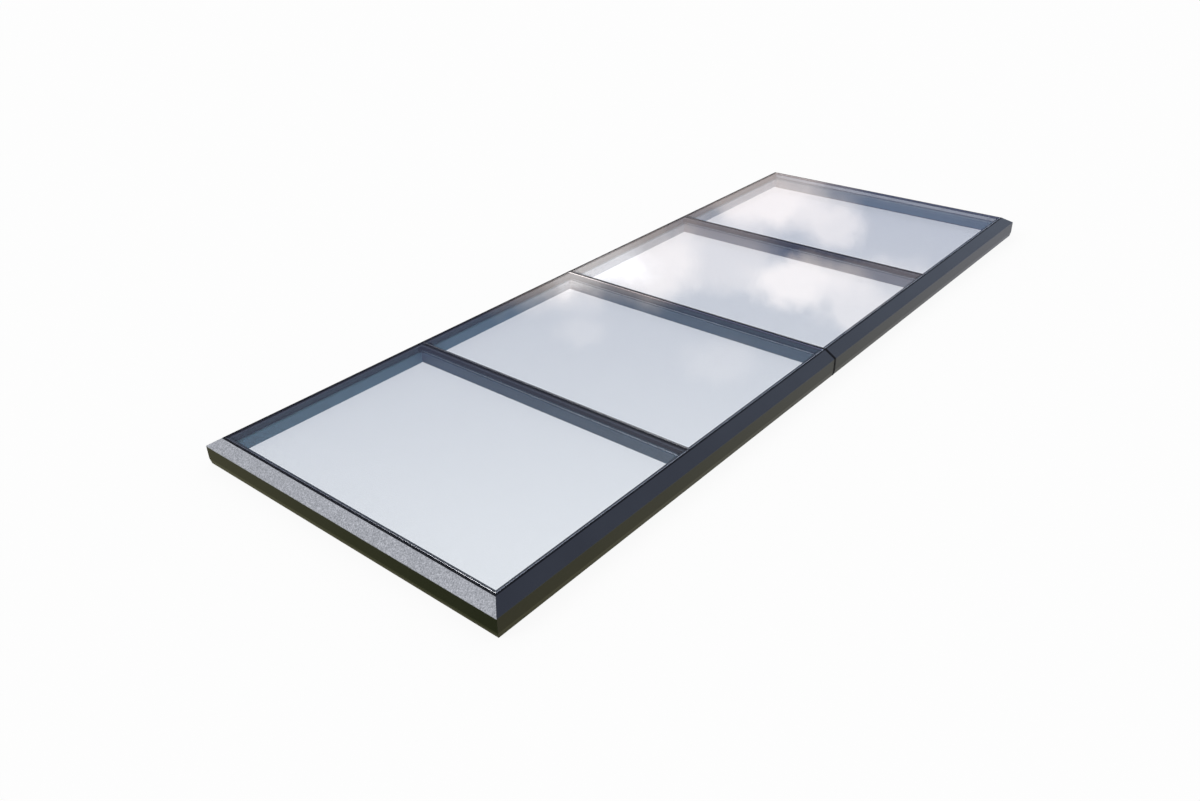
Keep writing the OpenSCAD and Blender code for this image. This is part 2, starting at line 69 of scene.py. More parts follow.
# %% [markdown]
# ## The camera
#
# The photograph was taken from above the front end, on the side of positive X. Its straight edges
# meet in vanishing points, and those fix the camera's angles and place for the size of the object.
# The camera is built from its own three axes, so that the small tilt of the picture is kept too.

# %% Camera
PHOTO_W, PHOTO_H = 1200, 801
FOCAL_PX = 1007.871
SENSOR = 36.0
CAMERA_AT = (2.4544, -3.4881, 2.0798)
AZIMUTH, DIP, ROLL = map(math.radians, (-40.6963, 30.0522, -1.8762))


def camera_axes(azimuth, dip, roll):
    """Right, up and back axes of a camera that looks along the compass angle azimuth and dips
    below the horizon. Right and up are then turned about the line of sight by roll."""
    ahead = np.array([
        math.sin(azimuth) * math.cos(dip), math.cos(azimuth) * math.cos(dip), -math.sin(dip)])
    right = np.array([math.cos(azimuth), -math.sin(azimuth), 0.0])
    up = np.cross(right, ahead)
    turned_right = math.cos(roll) * right + math.sin(roll) * up
    turned_up = math.cos(roll) * up - math.sin(roll) * right
    return np.column_stack([turned_right, turned_up, -ahead])


lens = bpy.data.cameras.new("photo_camera")
lens.sensor_fit = "HORIZONTAL"
lens.sensor_width = SENSOR
lens.lens = FOCAL_PX * SENSOR / PHOTO_W
camera = bpy.data.objects.new("photo_camera", lens)
turn = Matrix(camera_axes(AZIMUTH, DIP, ROLL).tolist()).to_4x4()
camera.matrix_world = Matrix.Translation(CAMERA_AT) @ turn
bpy.context.scene.collection.objects.link(camera)
bpy.context.scene.camera = camera
print("lens", round(lens.lens, 3), "mm")

# %% [markdown]
# ## A short way to write shader maths
#
# A material is a tree of nodes. Written out one by one they are long and hard to read, so two small
# classes do the writing. `Number` wraps one socket and turns a Python sum into Math nodes.
# `Paint` adds every other node: first its settings, then the values or links of its sockets.

# %% Shader classes
class Number:
    """One number that may change over a surface. A sum with it adds one Math node."""

    def __init__(self, paint, socket):
        self.paint = paint
        self.socket = socket

    def maths(self, operation, *numbers):
        node = self.paint.node("ShaderNodeMath", {"operation": operation}, dict(enumerate(numbers)))
        return Number(self.paint, node.outputs[0])

    def __add__(self, other):
        return self.maths("ADD", self, other)

    def __sub__(self, other):
        return self.maths("SUBTRACT", self, other)

    def __rsub__(self, other):
        return self.maths("SUBTRACT", other, self)

    def __mul__(self, other):
        return self.maths("MULTIPLY", self, other)

    def __truediv__(self, other):
        return self.maths("DIVIDE", self, other)

    def __pow__(self, other):
        return self.maths("POWER", self, other)

    def __abs__(self):
        return self.maths("ABSOLUTE", self)

    def below(self, limit):
        return self.maths("LESS_THAN", self, limit)

    def smaller(self, other):
        return self.maths("MINIMUM", self, other)

    def fraction(self):
        """What is left of the number past the last whole one."""
        return self.maths("FRACT", self)

    def clamped(self):
        """The number held between 0 and 1."""
        return self.maths("MINIMUM", self.maths("MAXIMUM", self, 0.0), 1.0)

    def step(self, start, end):
        """A smooth rise from 0 at start to 1 at end."""
        node = self.paint.node(
            "ShaderNodeMapRange", {"interpolation_type": "SMOOTHSTEP"},
            {"Value": self, "From Min": start, "From Max": end, "To Min": 0.0, "To Max": 1.0})
        return Number(self.paint, node.outputs[0])

    __radd__ = __add__
    __rmul__ = __mul__


class Paint:
    """Writes the nodes of one material, or of the world."""

    def __init__(self, tree):
        self.tree = tree
        tree.nodes.clear()

    def node(self, kind, settings=None, values=None):
        """Adds a node of a kind, sets its settings, then its sockets to values or links."""
        node = self.tree.nodes.new(kind)
        for name, value in (settings or {}).items():
            setattr(node, name, value)
        for name, value in (values or {}).items():
            if isinstance(value, Number):
                value = value.socket
            if isinstance(value, bpy.types.NodeSocket):
                self.tree.links.new(value, node.inputs[name])
            else:
                node.inputs[name].default_value = value
        return node

    def blend(self, share, first, second):
        """A colour that goes from first to second as share goes from 0 to 1."""
        colours = [(*c, 1.0) if isinstance(c, tuple) else c for c in (first, second)]
        node = self.node(
            "ShaderNodeMix", {"data_type": "RGBA"}, {0: share, 6: colours[0], 7: colours[1]})
        return node.outputs[2]

    def place(self, stretch=(1.0, 1.0, 1.0)):
        """Object coordinates in metres, stretched along each axis."""
        where = self.node("ShaderNodeTexCoord").outputs["Object"]
        return self.node("ShaderNodeMapping", {}, {"Vector": where, "Scale": stretch}).outputs[0]

    def axes(self):
        """The X, Y and Z of a point on the piece, in metres."""
        where = self.node("ShaderNodeTexCoord").outputs["Object"]
        split = self.node("ShaderNodeSeparateXYZ", {}, {0: where})
        return [Number(self, split.outputs[i]) for i in range(3)]

    def noise(self, scale, detail=2.0, roughness=0.5, stretch=(1.0, 1.0, 1.0)):
        """Soft noise with about scale lumps in a metre."""
        node = self.node(
            "ShaderNodeTexNoise", {},
            {"Vector": self.place(stretch), "Scale": scale, "Detail": detail, "Roughness": roughness})
        return Number(self, node.outputs[0])

    def bump(self, height, distance):
        """A normal tilted by a height map. A height of 1 stands for distance, in metres."""
        node = self.node(
            "ShaderNodeBump", {}, {"Height": height, "Distance": distance, "Strength": 1.0})
        return node.outputs[0]

    def finish(self, surface, output="ShaderNodeOutputMaterial"):
        self.node(output, {}, {"Surface": surface})


def new_finish(name):
    """A material with an empty tree, and the writer for it."""
    material = bpy.data.materials.new(name)
    material.use_nodes = True
    return material, Paint(material.node_tree)


print("shader classes ready")

# %% [markdown]
# ## The studio
#
# The floor and the backdrop are white to the camera, so the object stands on a plain page. To the
# camera, also through the glass, the floor mixes a lit, pale surface, which catches the shadow,
# with an even white. The world is the same white above the horizon.
#
# Glass and dark coatings look like themselves only if they have something to reflect. So rays that
# come off glass or a coating see another floor and another sky: a ground in a few soft tones, and
# a sky with clouds. Each cloud is a soft ellipse whose edge is torn by noise. Both are fixed to
# the world, so the reflections slide over the glass as they should when the view changes. What
# lights the object itself is an even white sky and one soft lamp.

# %% Floor
FLOOR_HALF = 60.0
FLOOR_GRAIN = 0.7
FLOOR_DARK, FLOOR_LIGHT = (0.44, 0.44, 0.44), (0.47, 0.47, 0.47)
FLOOR_SEEN = (0.9, 0.9, 0.9)
PAGE_SHARE = 0.9
GROUND_NEAR, GROUND_FAR = (0.48, 0.46, 0.28), (0.86, 0.88, 0.98)
GROUND_REACH = 2.4
FRONT_LEFT, FRONT_RIGHT = (0.40, 0.39, 0.24), (0.15, 0.18, 0.07)
FRONT_FROM, FRONT_TO = -1.2, 1.0


def ray_kind(paint, name):
    """1 for rays of a kind and 0 for the others."""
    return Number(paint, paint.node("ShaderNodeLightPath").outputs[name])


def seen_directly(paint):
    """1 for rays from the camera and for rays that something clear has let through."""
    return (ray_kind(paint, "Is Camera Ray") + ray_kind(paint, "Is Transmission Ray")).clamped()


floor_mesh = bpy.data.meshes.new("studio_floor")
corners = [(x, y, 0.0) for x, y in ((-1, -1), (1, -1), (1, 1), (-1, 1))]
floor_mesh.from_pydata(corners, [], [(0, 1, 2, 3)])
floor_mesh.transform(Matrix.Scale(FLOOR_HALF, 4))
floor = bpy.data.objects.new("studio_floor", floor_mesh)
bpy.context.scene.collection.objects.link(floor)

floor_finish, paint = new_finish("studio_floor")
direct = seen_directly(paint)
tone = paint.blend(paint.noise(FLOOR_GRAIN), FLOOR_DARK, FLOOR_LIGHT)
lit = paint.node("ShaderNodeBsdfDiffuse", {}, {"Color": paint.blend(direct, tone, FLOOR_SEEN)})
page = paint.node("ShaderNodeEmission", {}, {"Color": WHITE, "Strength": 1.0})
across, along, _ = paint.axes()
ground = paint.blend(along.step(-GROUND_REACH, GROUND_REACH), GROUND_NEAR, GROUND_FAR)
front_ground = paint.blend(across.step(FRONT_FROM, FRONT_TO), FRONT_LEFT, FRONT_RIGHT)
ground = paint.blend(along.below(-FRAME_Y), ground, front_ground)
mirrored = paint.node("ShaderNodeEmission", {}, {"Color": ground, "Strength": 1.0})
shown = paint.node(
    "ShaderNodeMixShader", {}, {0: direct * PAGE_SHARE, 1: lit.outputs[0], 2: page.outputs[0]})
shown = paint.node(
    "ShaderNodeMixShader", {},
    {0: ray_kind(paint, "Is Glossy Ray"), 1: shown.outputs[0], 2: mirrored.outputs[0]})
paint.finish(shown.outputs[0])
floor_mesh.materials.append(floor_finish)
print("floor", 2 * FLOOR_HALF, "m wide")

# %% World
DEGREES = 180 / math.pi
STUDIO_LIGHT = 0.8

# All these angles are in degrees. Past the turn, to the right, the sky gives way to a haze.
SKY_LOW, SKY_HIGH = (0.19, 0.21, 0.33), (0.58, 0.58, 0.63)
SKY_FROM, SKY_TO = 26.0, 43.0
HAZE_LOW, HAZE_HIGH = (0.88, 1.00, 1.22), (0.48, 0.50, 0.70)
HAZE_FROM, HAZE_TO = 18.0, 56.0
TURN_FROM, TURN_TO = -14.0, 10.0
CLOUD, CLOUD_CORE = (1.25, 1.08, 1.02), (2.0, 1.85, 1.8)
CLOUD_SOLID, CLOUD_ENDS = 0.45, 1.25
CORE_SOLID, CORE_ENDS = 0.1, 1.2
TORN_SCALE, TORN_DETAIL, TORN_ROUGHNESS = 12.0, 6.0, 0.58
RAGGED_WIDE, RAGGED_HIGH = 7.0, 3.8

# Each cloud is a soft ellipse: compass angle, height above the horizon, half width and half
# height, all in degrees, and how thick it is. The core is the brightest part of the first one.
CORE = (-41.0, 22.4, 4.2, 1.9)
CLOUDS = [
    (-43.2, 22.1, 6.5, 2.75, 1.0),
    (-37.2, 22.1, 2.8, 2.9, 0.85),
    (-32.5, 18.1, 7.0, 2.2, 0.92),
    (-28.8, 23.1, 4.0, 1.3, 0.95),
    (-25.0, 24.6, 2.8, 1.2, 0.55),
    (-33.5, 21.8, 3.2, 1.9, 0.45),
    (-26.8, 20.0, 2.4, 1.5, 0.6),
    (-23.5, 22.8, 3.4, 1.3, 0.3),
    (-41.5, 26.0, 2.4, 0.9, 0.2),
    (-32.8, 28.2, 2.2, 1.5, 0.18),
]

world = bpy.data.worlds.new("studio")
bpy.context.scene.world = world
world.use_nodes = True
paint = Paint(world.node_tree)
way = paint.node("ShaderNodeTexCoord").outputs["Generated"]
split = paint.node("ShaderNodeSeparateXYZ", {}, {0: way})
east, north, height = [Number(paint, split.outputs[i]) for i in range(3)]
compass = east.maths("ARCTAN2", east, north) * DEGREES
rise = height.maths("ARCSINE", height) * DEGREES
torn = paint.node(
    "ShaderNodeTexNoise", {},
    {"Vector": way, "Scale": TORN_SCALE, "Detail": TORN_DETAIL, "Roughness": TORN_ROUGHNESS})
shifts = paint.node("ShaderNodeSeparateColor", {}, {0: torn.outputs["Color"]})
aside = (Number(paint, shifts.outputs[0]) - 0.5) * RAGGED_WIDE
upward = (Number(paint, shifts.outputs[1]) - 0.5) * RAGGED_HIGH


def reach(angle, up, half_wide, half_high):
    """How far a point of the sky lies from the middle of an ellipse, squared, 1 on its edge. The
    noise moves the point first, so the edge is torn."""
    across = (compass - angle + aside) / half_wide
    above = (rise - up + upward) / half_high
    return across * across + above * above


clear = 1.0
for *ellipse, thickness in CLOUDS:
    thinning = (reach(*ellipse) ** 0.5).step(CLOUD_SOLID, CLOUD_ENDS)
    clear = (1.0 - (1.0 - thinning) * thickness) * clear
lit_cloud = paint.blend(reach(*CORE).step(CORE_SOLID, CORE_ENDS), CLOUD_CORE, CLOUD)
sky = paint.blend(rise.step(SKY_FROM, SKY_TO), SKY_LOW, SKY_HIGH)
haze = paint.blend(rise.step(HAZE_FROM, HAZE_TO), HAZE_LOW, HAZE_HIGH)
sky = paint.blend(compass.step(TURN_FROM, TURN_TO), sky, haze)
sky = paint.blend(clear, lit_cloud, sky)
mirrored = paint.node("ShaderNodeBackground", {}, {"Color": sky, "Strength": 1.0})
page = paint.node("ShaderNodeBackground", {}, {"Color": WHITE, "Strength": 1.0})
light = paint.node("ShaderNodeBackground", {}, {"Color": WHITE, "Strength": STUDIO_LIGHT})
around = paint.node(
    "ShaderNodeMixShader", {},
    {0: ray_kind(paint, "Is Glossy Ray"), 1: light.outputs[0], 2: mirrored.outputs[0]})
around = paint.node(
    "ShaderNodeMixShader", {}, {0: seen_directly(paint), 1: around.outputs[0], 2: page.outputs[0]})
paint.finish(around.outputs[0], "ShaderNodeOutputWorld")
print("clouds:", len(CLOUDS))

# %% Lamp
LAMP_FROM = (-0.44, -0.77, 0.55)
LAMP_STRENGTH = 0.8
LAMP_SPREAD = math.radians(24)

lamp = bpy.data.lights.new("soft_lamp", "SUN")
lamp.energy = LAMP_STRENGTH
lamp.angle = LAMP_SPREAD
lamp_object = bpy.data.objects.new("soft_lamp", lamp)
lamp_object.rotation_euler = Vector(LAMP_FROM).to_track_quat("Z", "Y").to_euler()
bpy.context.scene.collection.objects.link(lamp_object)
bpy.context.scene.view_settings.view_transform = "Standard"
print("lamp from", LAMP_FROM)

# %% [markdown]
# ## Powder coat on the frame
#
# The profiles are aluminium with a baked powder coat. Close up, such a coat has a fine skin like
# the peel of an orange, with a satin gloss, and tiny changes of tone where the powder lay thicker.
# Soft noises make that: a broad one for the tone, and fine ones for the grain, the skin and the
# gloss. Where two pieces are cut to meet at a corner, a hairline stays, so the outer pieces get a
# thin dark line along the mitre, worked out from how far a point is from each outer face. Small
# round weep holes near the foot of the upright faces let water out. They are so small that here
# they are only dull dents, coloured near black as painted shade of their insides.
#
# The photograph shows the inner profiles in more tones than one coat has in this plain light. So
# their colour is multiplied by a factor that depends on the place: painted light that makes the
# long and end walls lighter, and painted shade that makes the glazing bars darker. That is a choice
# made to match the picture, and not something known about the object.

# %% Coating
MITRE_HALF, MITRE_DEPTH, MITRE_DARK = 0.35 * MM, 4.0, (0.004, 0.005, 0.006)
HOLE_Z, HOLE_R = 5.0 * MM, 2.6 * MM
# Weep holes are coloured near black: painted shade of their insides.
HOLE_DEPTH, HOLE_PAINTED_SHADE = 8.0, (0.001, 0.001, 0.001)
HOLES_ON_END, HOLES_ON_SIDE = 7, 18
NEAR_FACE = 6 * MM
RING = 14 * MM
WALL_X, WALL_Y = pane_corner.x - RING, pane_corner.y - RING
BESIDE_BAR = 40 * MM
# Factors on the inner coat's colour: painted light on the long and end walls, painted shade on the
# glazing bars.
SIDE_PAINTED_LIGHT, END_PAINTED_LIGHT, BAR_PAINTED_SHADE = (1.50, 1.93, 2.29), (1.40, 1.40, 1.42), (0.46, 0.60, 0.74)
COAT_GRAIN, COAT_SKIN, COAT_SHINE = 900.0, 0.05 * MM, 0.5


def mitre_line(paint):
    """1 on the hairlines where the mitred ends meet, 0 elsewhere."""
    x, y, _ = paint.axes()
    return abs((abs(x) - FRAME_X) - (abs(y) - FRAME_Y)).below(MITRE_HALF)


def weep_holes(paint):
    """1 inside the small round holes along the foot of the faces, 0 elsewhere. A row is cut in
    equal parts of the given number, and a hole sits in the middle of each part."""
    x, y, z = paint.axes()
    above = z - HOLE_Z
    inside = 0.0
    for run, other, half, face, parts in (
            (x, y, FRAME_X, FRAME_Y, HOLES_ON_END), (y, x, FRAME_Y, FRAME_X, HOLES_ON_SIDE)):
        part = 2 * half / parts
        beside = (((run + half) / part).fraction() - 0.5) * part
        hole = (beside * beside + above * above).below(HOLE_R ** 2)
        on_face = 1.0 - abs(other).below(face - NEAR_FACE)
        inside = hole * on_face + inside
    return inside.clamped()


def inner_painted_light_and_shade(paint, coat):
    """The coat of the inner profiles times painted light and shade that depend on the place: against
    the coupling beams, the long walls are lighter and bluer and the end walls lighter, as painted
    light, and the glazing bars darker, as painted shade."""
    x, y, _ = paint.axes()
    side = 1.0 - abs(x).below(WALL_X - 1 * MM)
    end = 1.0 - abs(y).below(WALL_Y - 1 * MM)
    bar = abs(abs(y) - BAR_Y).below(BESIDE_BAR)
    light_shade_factor = paint.blend(bar, (1.0, 1.0, 1.0), BAR_PAINTED_SHADE)
    light_shade_factor = paint.blend(end, light_shade_factor, END_PAINTED_LIGHT)
    light_shade_factor = paint.blend(side, light_shade_factor, SIDE_PAINTED_LIGHT)
    return paint.node("ShaderNodeVectorMath", {"operation": "MULTIPLY"}, {0: coat, 1: light_shade_factor}).outputs[0]


def coated(name, dark, light, gloss, line=False, holes=False, painted_light_by_place=None):
    """A powder coat whose tone wanders between two colours, with mitre lines, weep holes painted dark
    as shade, or painted light and shade that depend on the place, where they are asked for."""
    material, paint = new_finish(name)
    tone = paint.noise(6.0, 3.0) * 0.6 + paint.noise(COAT_GRAIN, 2.0) * 0.4
    colour = paint.blend(tone.step(0.3, 0.7), dark, light)
    height = paint.noise(COAT_GRAIN * 0.6, 1.0)
    rough = paint.noise(COAT_GRAIN * 0.5, 2.0) * 0.1 + (gloss - 0.05)
    # Painted light and shade that depend on the place, where asked for.
    if painted_light_by_place:
        colour = painted_light_by_place(paint, colour)
    if holes:
        # Painted shade: inside a weep hole the colour goes near black.
        weep = weep_holes(paint)
        colour = paint.blend(weep, colour, HOLE_PAINTED_SHADE)
        height = height - weep * HOLE_DEPTH
        rough = (rough + weep).clamped()
    if line:
        seam = mitre_line(paint)
        colour = paint.blend(seam, colour, MITRE_DARK)
        height = height - seam * MITRE_DEPTH
    surface = paint.node(
        "ShaderNodeBsdfPrincipled", {},
        {"Base Color": colour, "Roughness": rough, "Specular IOR Level": COAT_SHINE,
         "Normal": paint.bump(height, COAT_SKIN)})
    paint.finish(surface.outputs[0])
    return material


finishes = {}
finishes["frame_coating"] = coated(
    "frame_coating", (0.006, 0.0065, 0.003), (0.010, 0.010, 0.006), 0.36, line=True, holes=True)
finishes["cap_coating"] = coated(
    "cap_coating", (0.010, 0.014, 0.022), (0.015, 0.020, 0.030), 0.36, line=True)
finishes["inner_coating"] = coated(
    "inner_coating", (0.096, 0.162, 0.178), (0.114, 0.182, 0.202), 0.40, painted_light_by_place=inner_painted_light_and_shade)
print("coatings:", sorted(finishes))

# %% [markdown]
# ## The pale front capping
#
# The capping of the front end is drawn with its own finish: a strongly textured coat, painted
# pale grey with darker and lighter specks a few millimetres across. The pale grey and the lighter
# specks are painted light: they stand in for a strong light falling on the rough coat. The specks
# are colour and the texture is bump, both from one fine noise, so that a speck is also a tiny
# lump. A broad noise adds faint patches.

# %% Pale coat
# Painted light: these pale greys stand in for a strong light on the rough coat.
PALE_PAINTED_LIGHT = [(0.205, 0.215, 0.24), (0.36, 0.375, 0.415), (0.56, 0.575, 0.63)]
PALE_LINE = (0.01, 0.011, 0.013)
SPECK_GRAIN, PATCH_GRAIN, PATCH_SHARE = 190.0, 9.0, 0.12
SPECK_DARK, SPECK_MIDDLE, SPECK_LIGHT = 0.34, 0.50, 0.66
SPECK_HEIGHT = 0.35 * MM
material, paint = new_finish("pale_cap_coating")
specks = paint.noise(SPECK_GRAIN, 3.0, 0.75)
mottle = specks + (paint.noise(PATCH_GRAIN, 3.0) - 0.5) * PATCH_SHARE
colour = paint.blend(mottle.step(SPECK_DARK, SPECK_MIDDLE), PALE_PAINTED_LIGHT[0], PALE_PAINTED_LIGHT[1])
colour = paint.blend(mottle.step(SPECK_MIDDLE, SPECK_LIGHT), colour, PALE_PAINTED_LIGHT[2])
seam = mitre_line(paint)
colour = paint.blend(seam, colour, PALE_LINE)
surface = paint.node(
    "ShaderNodeBsdfPrincipled", {},
    {"Base Color": colour, "Roughness": specks * 0.3 + 0.4, "Specular IOR Level": COAT_SHINE,
     "Normal": paint.bump(specks - seam * MITRE_DEPTH, SPECK_HEIGHT)})
paint.finish(surface.outputs[0])
finishes["pale_cap_coating"] = material
print("pale coat made")

# %% [markdown]
# ## Clear glass
#
# Two panes lie one above the other. Each is a thin see-through film with a faint tint, and a
# mirror that grows stronger at a shallow angle. Bent light could be traced through them instead,
# but a trial of it moved the feet of the walls away from their place in the photograph, because
# the sizes were worked out with a straight view. A thin sheet mirrors at both its faces, so the
# share is twice the Fresnel term over one plus it. Only the outward side of a face mirrors,
# because the ray isn't bent and would otherwise seem to meet the far side from within.
#
# A ring along the edge of a pane is bonded to the sealant and the spacer, and there its inner face
# mirrors nothing. The last millimetre is ground and catches the light as a rough line. Two strips
# mirror more than plain glass does, only because the photograph shows them bright: one beside the
# middle joint, and the bonded ring at the far end.

# %% Glass
GLASS_TINT, MIRROR_TINT = (0.960, 0.972, 0.985, 1.0), (0.97, 0.98, 1.0, 1.0)
GLASS_IOR, GLASS_ROUGH, DUST_ROUGH = 1.52, 0.015, 0.012
GROUND_EDGE, GROUND_SHARE, GROUND_ROUGH = 1.2 * MM, 0.30, 0.22
BRIGHT_Y, BRIGHT_HALF, BRIGHT_SHARE = -13.5 * MM, 3.5 * MM, 0.45
FAR_SHARE = 0.36


def pane_inset(paint):
    """How far a point lies inside the edge of its pane, in metres."""
    x, y, _ = paint.axes()
    from_bar = abs(abs(y) - BAR_Y) - JOINT_HALF
    from_end = (pane_corner.y - abs(y)).smaller(abs(y) - JOINT_HALF)
    return from_bar.smaller(from_end).smaller(pane_corner.x - abs(x))


def clear_glass(name):
    """A see-through film that also mirrors, more so at a shallow angle. Over the bonded ring its
    inner face mirrors nothing, so the share falls from 2F / (1 + F) to F."""
    material, paint = new_finish(name)
    once = Number(paint, paint.node("ShaderNodeFresnel", {}, {"IOR": GLASS_IOR}).outputs[0])
    outward = 1.0 - Number(paint, paint.node("ShaderNodeNewGeometry").outputs["Backfacing"])
    inset = pane_inset(paint)
    free = 1.0 - inset.below(RING)
    ground = inset.below(GROUND_EDGE)
    _, along, _ = paint.axes()
    bright = abs(along - BRIGHT_Y).below(BRIGHT_HALF)
    far = 1.0 - along.below(WALL_Y)
    share = once * (1.0 + (1.0 - once) / (once + 1.0) * free)
    share = (share + ground * GROUND_SHARE + bright * BRIGHT_SHARE + far * FAR_SHARE) * outward
    dust = paint.noise(3.0, 4.0).step(0.45, 0.8)
    through = paint.node("ShaderNodeBsdfTransparent", {}, {"Color": GLASS_TINT})
    mirror = paint.node(
        "ShaderNodeBsdfPrincipled", {},
        {"Base Color": MIRROR_TINT, "Metallic": 1.0,
         "Roughness": dust * DUST_ROUGH + ground * GROUND_ROUGH + GLASS_ROUGH})
    mixed = paint.node(
        "ShaderNodeMixShader", {}, {0: share.clamped(), 1: through.outputs[0], 2: mirror.outputs[0]})
    paint.finish(mixed.outputs[0])
    return material


for name in ("outer_glass", "inner_glass"):
    finishes[name] = clear_glass(name)
print("glass made")

# %% [markdown]
# ## Rubber, sealants and plastics
#
# Round each pane runs black silicone, and inside the unit a dark spacer bar and its sealant show
# as a narrow band. They are dark, but not the same: silicone is smooth and a little glossy, foam
# is dull and full of tiny cells, and moulded plastic has a faint pebbled skin. The tape is a dull
# blue-grey, because the photograph shows no dark strip above the walls. The spacer's colour changes
# with the place for the same reason as that of the inner profiles: it is painted shade where it
# turns black beside the glazing bars, and painted light where it turns pale at the far end.

# %% Dark finishes
PANE_THICK = 6 * MM
SPACER_TOP_Z = pane_corner.z - PANE_THICK
TOP_FROM, TOP_TO = SPACER_TOP_Z - 0.4 * MM, SPACER_TOP_Z - 0.2 * MM
SPACER_TOP = (0.045, 0.055, 0.070)
# Painted shade beside the glazing bars and painted light at the far end.
SPACER_PAINTED_SHADE, SPACER_FAR_PAINTED_LIGHT = (0.004, 0.006, 0.009), (0.52, 0.53, 0.55)


def spacer_painted_light_and_shade(paint, colour):
    """The spacer's colour: black beside the glazing bars, as painted shade, pale at the far end, as
    painted light, and slate grey on its top face, which lies against the outer pane."""
    _, y, z = paint.axes()
    colour = paint.blend(abs(abs(y) - BAR_Y).below(BESIDE_BAR), colour, SPACER_PAINTED_SHADE)
    colour = paint.blend(y.below(WALL_Y - 2 * MM), SPACER_FAR_PAINTED_LIGHT, colour)
    return paint.blend(z.step(TOP_FROM, TOP_TO), colour, SPACER_TOP)


def moulded(name, dark, light, gloss, grain, skin, shine=0.5, painted_light_by_place=None):
    """A plastic, rubber or sealant with a pebbled skin of a given grain, and with painted light and
    shade that depend on the place where they are asked for."""
    material, paint = new_finish(name)
    pebble = paint.noise(grain, 3.0, 0.6)
    wander = paint.noise(12.0, 2.0)
    colour = paint.blend((pebble * 0.5 + wander * 0.5).step(0.35, 0.65), dark, light)
    if painted_light_by_place:
        colour = painted_light_by_place(paint, colour)
    surface = paint.node(
        "ShaderNodeBsdfPrincipled", {},
        {"Base Color": colour, "Roughness": pebble * 0.12 + (gloss - 0.06),
         "Specular IOR Level": shine, "Normal": paint.bump(pebble, skin)})
    paint.finish(surface.outputs[0])
    return material


# Each recipe has two colours, the roughness, the grain per metre, the height of the skin and,
# where they differ from most, the shine and the painted light and shade by place.
DARK_FINISHES = {
    "spacer_bar": (
        (0.042, 0.068, 0.082), (0.054, 0.082, 0.098), 0.50, 700.0, 0.05 * MM, 0.08, spacer_painted_light_and_shade),
    "unit_sealant": ((0.010, 0.010, 0.012), (0.018, 0.018, 0.021), 0.45, 300.0, 0.08 * MM),
    "glazing_tape": ((0.090, 0.150, 0.190), (0.110, 0.180, 0.225), 0.85, 1500.0, 0.10 * MM),
    "weather_silicone": ((0.002, 0.003, 0.006), (0.004, 0.006, 0.010), 0.50, 400.0, 0.01 * MM, 0.15),
    "gasket_rubber": ((0.002, 0.002, 0.003), (0.004, 0.004, 0.005), 0.60, 600.0, 0.02 * MM, 0.12),
    "seal_foam": ((0.020, 0.020, 0.022), (0.045, 0.045, 0.048), 0.90, 1300.0, 0.20 * MM),
    "break_plastic": ((0.010, 0.010, 0.011), (0.018, 0.018, 0.020), 0.50, 900.0, 0.04 * MM),
    "block_plastic": ((0.060, 0.200, 0.110), (0.080, 0.240, 0.140), 0.42, 500.0, 0.05 * MM),
    "plug_plastic": ((0.020, 0.022, 0.026), (0.030, 0.033, 0.038), 0.45, 700.0, 0.05 * MM),
}
for name, recipe in DARK_FINISHES.items():
    finishes[name] = moulded(name, *recipe)
print("dark finishes:", len(DARK_FINISHES))

# %% [markdown]
# ## Bare metal of the joining parts
#
# Cleats are sawn from mill-finish aluminium, and screws and bolts are zinc-plated steel. Both are
# mostly hidden. Mill finish shows long faint lines from the die, so its noise is stretched.

# %% Metals
def bare_metal(name, dull, bright, gloss, stretch, grain):
    """A metal whose gloss and tone follow a grain, stretched where it has lines."""
    material, paint = new_finish(name)
    lines = paint.noise(grain, 3.0, 0.6, stretch)
    surface = paint.node(
        "ShaderNodeBsdfPrincipled", {},
        {"Base Color": paint.blend(lines, dull, bright), "Metallic": 1.0,
         "Roughness": lines * 0.25 + gloss, "Normal": paint.bump(lines, 0.02 * MM)})
    paint.finish(surface.outputs[0])
    return material


finishes["cleat_aluminium"] = bare_metal(
    "cleat_aluminium", (0.50, 0.51, 0.53), (0.68, 0.69, 0.71), 0.25, (1.0, 1.0, 0.06), 500.0)
finishes["fixing_steel"] = bare_metal(
    "fixing_steel", (0.48, 0.50, 0.52), (0.66, 0.67, 0.66), 0.22, (1.0, 1.0, 1.0), 900.0)
print("metals made")

# %% [markdown]
# ## Put the finishes on the solids
#
# The record names a material slot for each solid, so one loop dresses them all.

# %% Dress the CAD nodes
slot_of = {part["node"]: part["material_slot"] for part in frame["record"]["subparts"]}
for name, node in nodes.items():
    node.data.materials.clear()
    node.data.materials.append(finishes[slot_of[name]])
print("dressed:", len(slot_of), "solids in", len(set(slot_of.values())), "finishes")

# %% [markdown]
# ## The bead of silicone over the cappings
#
# The weather seal fills the gap between glass and capping. On the real object the fitter could
# draw it a few millimetres over the top edge of the capping, so that no water stands there, and
# the photograph shows such a dark edge. The bead is a flat arc in section, in four strips that are
# mitred at the corners: each point of the section moves out from the edge of the seal by the same
# amount along the strip as across it.

